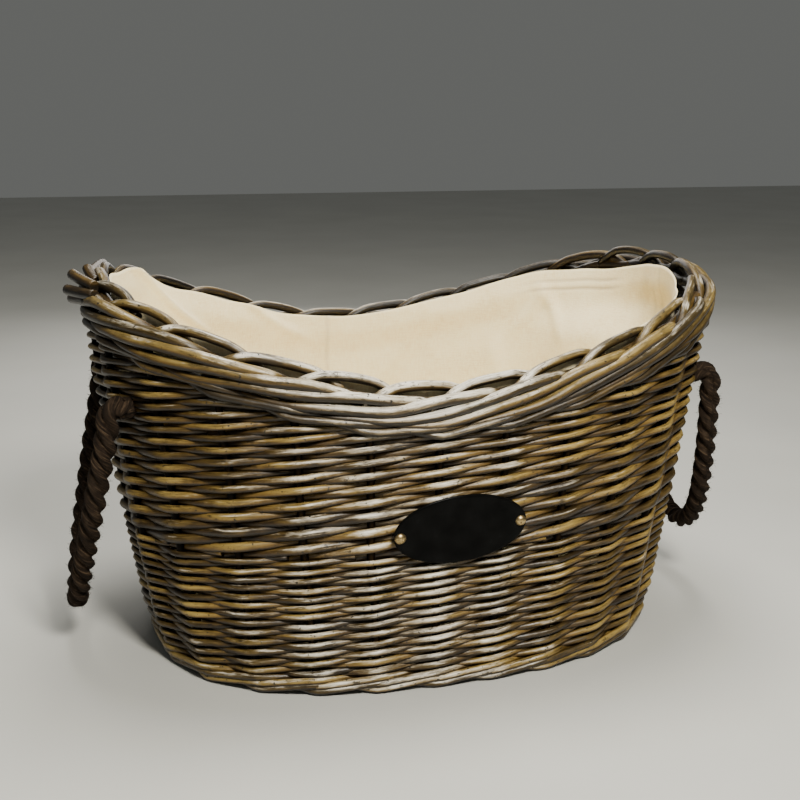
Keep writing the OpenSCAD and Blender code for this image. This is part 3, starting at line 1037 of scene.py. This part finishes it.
def liner_surface():
    """Points of the liner from the floor's edge to the top hem, row by row."""
    angle = np.linspace(0, 2 * math.pi, LINER_COLUMNS, endpoint=False)
    stake = stake_at(angle)
    top = liner_top(angle)
    end_share = np.exp(-((turn_between(angle, 345) / 20) ** 2))
    rows, hem_seam_darkening, weave = [], [], []
    for row in range(LINER_ROWS):
        share = (row / (LINER_ROWS - 1)) ** 0.8
        z = LINER_FLOOR_Z + (top - LINER_FLOOR_Z) * share
        below = top - z
        head = 1 - smoothstep(below, 0.016, 0.050)
        inset = LINER_INSET + (LINER_HEAD - LINER_INSET) * head
        slack = smoothstep(below, 0.010, 0.10) * smoothstep(z, 0.02, 0.10)
        loose = 0.5 + 0.5 * waver(angle + 0.35 * share, (4, 7, 11, 17), 2)
        inset = inset + 0.0050 * slack * np.clip(loose, 0, 2) + liner_bulge(stake, z)
        inset = inset + 0.006 * end_share * smoothstep(below, 0.06, 0.0)
        for degrees, drift, depth, length, height in LINER_FOLDS:
            side = turn_between(angle, degrees + drift * below / (depth + length)) / 2.8
            inset = inset + height * np.exp(-(side**2) - ((below - depth) / length) ** 2)
        mark = np.zeros_like(angle)
        for depth in HEM_LINES:
            line = np.exp(-(((below - depth) / HEM_WIDTH) ** 2))
            mark = mark + line * smoothstep(angle, 0.20, 0.35) * (1 - smoothstep(angle, 0.75, 1.0))
        for degrees in SEAMS:
            mark = mark + 0.5 * np.exp(-((turn_between(angle, degrees) / 0.28) ** 2))
        inset = inset - 0.0008 * mark
        rows.append(wall_point(stake, z, inset))
        # The hem lines and seams are also darker in colour.
        hem_seam_darkening.append(np.clip(mark, 0, 1) * 0.72)
        weave.append(np.stack([angle * MEAN_RADIUS, z, np.zeros_like(angle)], -1))
    return np.array(rows), np.array(hem_seam_darkening), np.array(weave)


def grid_faces(rows, columns):
    """Faces between rows of points that close round on themselves."""
    return [
        (r * columns + c, r * columns + (c + 1) % columns,
         (r + 1) * columns + (c + 1) % columns, (r + 1) * columns + c)
        for r in range(rows - 1) for c in range(columns)
    ]


def solidify(piece, thickness):
    """Gives a sheet its thickness, half to each side."""
    modifier = piece.modifiers.new("thickness", "SOLIDIFY")
    modifier.thickness = thickness
    modifier.offset = 0


def make_liner():
    """The liner's wall, a sleeve of calico that stands against the weave."""
    rows, hem_seam_darkening, weave = liner_surface()
    points = rows.reshape(-1, 3)
    faces = grid_faces(LINER_ROWS, LINER_COLUMNS)
    liner = add_mesh("cloth_liner", points, faces, CALICO, (
        ("hem_seam_darkening", hem_seam_darkening.ravel()), ("weave", weave.reshape(-1, 3))))
    solidify(liner, CLOTH_THICKNESS)
    ride_in_basket(liner, "liner", "liner_wall")


def make_liner_floor():
    """The liner's floor, an oval of calico sewn to the foot of the wall."""
    low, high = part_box("liner_floor")
    columns, rings = 160, 30
    angle = np.linspace(0, 2 * math.pi, columns, endpoint=False)
    level = np.full(columns, LINER_FLOOR_Z)
    edge = wall_point(stake_at(angle), level, LINER_INSET + 0.0013)
    rows, weave = [], []
    for r in range(rings):
        share = 0.02 + 0.98 * r / (rings - 1)
        x, y = edge[:, 0] * share, edge[:, 1] * share
        ripple = 0.0011 * np.sin(x * 41 + 3 * np.sin(y * 23)) * np.sin(y * 37 + 1.0)
        z = (low.z + high.z) / 2 + 0.0006 + ripple * (1 - share**4)
        rows.append(np.stack([x, y, z], -1))
        weave.append(np.stack([x, y, np.zeros_like(x)], -1))
    points = np.vstack(rows)
    faces = grid_faces(rings, columns) + [tuple(range(columns - 1, -1, -1))]
    floor = add_mesh("liner_base", points, faces, CALICO, (
        ("hem_seam_darkening", np.zeros(len(points))), ("weave", np.vstack(weave))))
    solidify(floor, CLOTH_THICKNESS)
    ride_in_basket(floor, "liner", "liner_floor")


make_liner()
make_liner_floor()

# --- Plaque ------------------------------------------------------------------------------


def plaque_frame():
    """The plaque's centre and its directions: along, up and out of the wall."""
    low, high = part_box("plaque")
    rivets = [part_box(name) for name in ("left_rivet", "right_rivet")]
    left, right = [(np.array(a) + np.array(b)) / 2 for a, b in rivets]
    along = unit(right - left)
    z = (low.z + high.z) / 2
    lean = (wall_half(z + 0.03)[1] - wall_half(z - 0.03)[1]) / 0.06
    out = unit(np.array([0, -1, -lean]))
    along = unit(along - np.dot(along, out) * out)
    up = np.cross(out, along)
    half = (wall_half(z - 0.03)[1] + wall_half(z + 0.03)[1]) / 2
    return np.array([0, -half, z]), along, up, out


PLAQUE_W = 0.130
PLAQUE_H = 0.068
RIVET_R = 0.0055
RIVET_FROM_EDGE = 0.006
# Each profile runs from the back edge to the middle: inset from the rim and height
PLAQUE_PROFILE = (
    (0.0012, 0.0003), (0.0003, 0.0006), (0.0, 0.0012), (0.0, 0.0019), (0.0004, 0.0025), (0.0012, 0.0029),
    (0.0030, 0.0031), (0.0100, 0.0034), (0.0220, 0.0037), (0.0300, 0.0038),
)
DOME_PROFILE = (
    (0.0004, 0.0024), (0.0, 0.0030), (0.0002, 0.0038), (0.0008, 0.0047), (0.0018, 0.0056),
    (0.0030, 0.0062), (0.0042, 0.0065), (0.0052, 0.0066),
)


def lathe_oval(name, profile, half_w, half_h, centre, along, up, out, material):
    """An oval plate from a profile of inset and height, closed front and back."""
    columns = 128
    angle = np.linspace(0, 2 * math.pi, columns, endpoint=False)
    rows = [
        centre + np.outer((half_w - inset) * np.cos(angle), along)
        + np.outer((half_h - inset) * np.sin(angle), up) + out * height
        for inset, height in profile
    ]
    points = np.vstack(rows)
    faces = grid_faces(len(profile), columns)
    faces.append(tuple(range(columns - 1, -1, -1)))
    faces.append(tuple(range((len(profile) - 1) * columns, len(profile) * columns)))
    return add_mesh(name, points, faces, material)


def make_plaque():
    """The blank enamel plate and the domed heads of its two rivets."""
    centre, along, up, out = plaque_frame()
    half_w, half_h = PLAQUE_W / 2, PLAQUE_H / 2
    plate = lathe_oval("oval_plaque", PLAQUE_PROFILE, half_w, half_h, centre, along, up, out, ENAMEL)
    ride_in_basket(plate, "plaque", "plaque")
    for side, name in ((-1, "left_rivet"), (1, "right_rivet")):
        place = centre + along * side * (half_w - RIVET_FROM_EDGE)
        head = lathe_oval(name + "_head", DOME_PROFILE, RIVET_R, RIVET_R, place, along, up, out, BRASS)
        ride_in_basket(head, "rivet", name)


make_plaque()

# --- Floor and light ---------------------------------------------------------------------


FLOOR_HALF = 6.0


def make_floor():
    """A plain pale floor."""
    mesh = bpy.data.meshes.new("floor")
    corners = [(x * FLOOR_HALF, y * FLOOR_HALF, 0) for x, y in ((-1, -1), (1, -1), (1, 1), (-1, 1))]
    mesh.from_pydata(corners, [], [(0, 1, 2, 3)])
    floor = bpy.data.objects.new("floor", mesh)
    bpy.context.scene.collection.objects.link(floor)
    n = Nodes("pale_floor")
    tint = n.ramp(n.noise(n.place(), 3, 3), (0.3, (0.50, 0.50, 0.47)), (0.7, (0.54, 0.54, 0.51)))
    floor.data.materials.append(n.finish(tint, 0.8))


def make_light(name, place, aim, size, power, colour):
    """A round soft light that faces a point."""
    data = bpy.data.lights.new(name, "AREA")
    data.shape = "DISK"
    data.size = size
    data.energy = power
    data.color = colour
    light = bpy.data.objects.new(name, data)
    light.location = place
    light.rotation_euler = (Vector(aim) - Vector(place)).to_track_quat("-Z", "Y").to_euler()
    bpy.context.scene.collection.objects.link(light)


def make_lights():
    """A pale room with a key light in front, one overhead and a weak one behind."""
    world = bpy.data.worlds.new("studio")
    world.use_nodes = True
    background = world.node_tree.nodes["Background"]
    background.inputs["Color"].default_value = (0.86, 0.88, 0.84, 1)
    background.inputs["Strength"].default_value = 0.15
    bpy.context.scene.world = world
    make_light("key", (0.03, -1.15, 1.20), (-0.03, 0, 0.2), 0.30, 33, (1.0, 0.96, 0.86))
    make_light("top", (0.05, 0.15, 2.0), (0, 0, 0.2), 0.9, 37, (1.0, 0.97, 0.89))
    make_light("back fill", (0.30, 1.60, 0.90), (0, 0, 0.2), 1.2, 11, (1.0, 0.97, 0.92))


make_floor()
make_lights()
